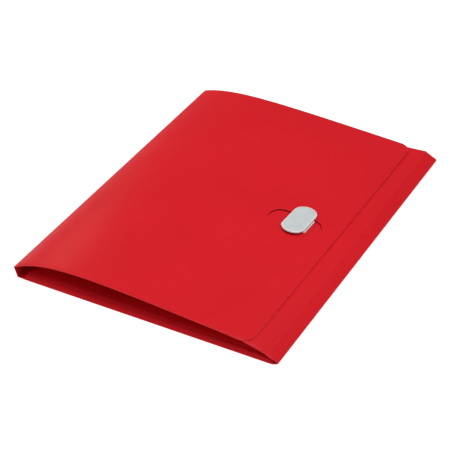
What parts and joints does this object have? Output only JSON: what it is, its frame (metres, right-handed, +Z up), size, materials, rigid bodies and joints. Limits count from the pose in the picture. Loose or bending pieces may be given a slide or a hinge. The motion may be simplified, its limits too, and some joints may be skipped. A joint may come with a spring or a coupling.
{
  "type": "three-flap document folder",
  "caption": "A4 plastic three-flap document folder with scored panels that fold open and a clip tongue that snaps its bulged cover to the side flap.",
  "frame": {"origin": "centre of the footprint, at the underside of the back panel", "axes": "+X from the spine to the opening side, +Y from the foot end to the head end, +Z up through the cover"},
  "size_m": [0.2376, 0.32, 0.0229],
  "materials": {
    "red_sheet": "satin red polypropylene sheet",
    "grey_clip": "satin light grey moulded plastic"
  },
  "bodies": {
    "back": {"back_panel": "red_sheet"},
    "spine": {"spine_panel": "red_sheet"},
    "cover": {"front_cover": "red_sheet"},
    "side_wall": {"side_wall": "red_sheet"},
    "side_flap": {"side_flap": "red_sheet", "keeper_ring": "grey_clip", "keeper_rivet_left": "grey_clip", "keeper_rivet_right": "grey_clip"},
    "foot_wall": {"foot_wall": "red_sheet"},
    "foot_flap": {"foot_flap": "red_sheet"},
    "head_wall": {"head_wall": "red_sheet"},
    "head_flap": {"head_flap": "red_sheet"},
    "latch": {"latch_tongue": "red_sheet", "finger_plate": "grey_clip", "base_plate": "grey_clip", "backing_plate": "grey_clip", "latch_stud": "grey_clip", "rivet_left": "grey_clip", "rivet_right": "grey_clip"}
  },
  "joints": [
    {"name": "cover_fold", "type": "hinge", "parent": "spine", "child": "cover", "pos_m": [-0.11865, 0, 0.0095], "axis": [0, -1, 0], "range_deg": [0, 115]},
    {"name": "spine_fold", "type": "hinge", "parent": "back", "child": "spine", "pos_m": [-0.11565, 0, 0.0004], "axis": [0, -1, 0], "range_deg": [0, 50]},
    {"name": "side_wall_fold", "type": "hinge", "parent": "back", "child": "side_wall", "pos_m": [0.11985, 0, 0.0029], "axis": [0, 1, 0], "range_deg": [0, 138]},
    {"name": "side_flap_fold", "type": "hinge", "parent": "side_wall", "child": "side_flap", "pos_m": [0.10825, 0, 0.00825], "axis": [0, 1, 0.0041], "range_deg": [0, 27]},
    {"name": "foot_wall_fold", "type": "hinge", "parent": "back", "child": "foot_wall", "pos_m": [0, -0.1596, 0.0004], "axis": [1, 0, 0], "range_deg": [0, 118]},
    {"name": "foot_flap_fold", "type": "hinge", "parent": "foot_wall", "child": "foot_flap", "pos_m": [0, -0.1554, 0.00396], "axis": [1, 0.0027, -0.0032], "range_deg": [0, 47]},
    {"name": "head_wall_fold", "type": "hinge", "parent": "back", "child": "head_wall", "pos_m": [0, 0.1596, 0.0004], "axis": [-1, 0, 0], "range_deg": [0, 111]},
    {"name": "head_flap_fold", "type": "hinge", "parent": "head_wall", "child": "head_flap", "pos_m": [0, 0.1552, 0.0065], "axis": [-1, 0, 0], "range_deg": [0, 54]},
    {"name": "latch_lift", "type": "hinge", "parent": "cover", "child": "latch", "pos_m": [0.05645, -0.018, 0.01426], "axis": [0.9974, 0, -0.0716], "range_deg": [0, 15], "stiffness_Nm_per_rad": 0.02}
  ],
  "couplings": [
    {"joint": "spine_fold", "follows": "cover_fold", "ratio": 0.43478},
    {"joint": "side_wall_fold", "follows": "cover_fold", "ratio": 1.2},
    {"joint": "side_flap_fold", "follows": "cover_fold", "ratio": 0.23478},
    {"joint": "foot_wall_fold", "follows": "cover_fold", "ratio": 1.0261},
    {"joint": "foot_flap_fold", "follows": "cover_fold", "ratio": 0.40869},
    {"joint": "head_wall_fold", "follows": "cover_fold", "ratio": 0.96522},
    {"joint": "head_flap_fold", "follows": "cover_fold", "ratio": 0.46957}
  ]
}
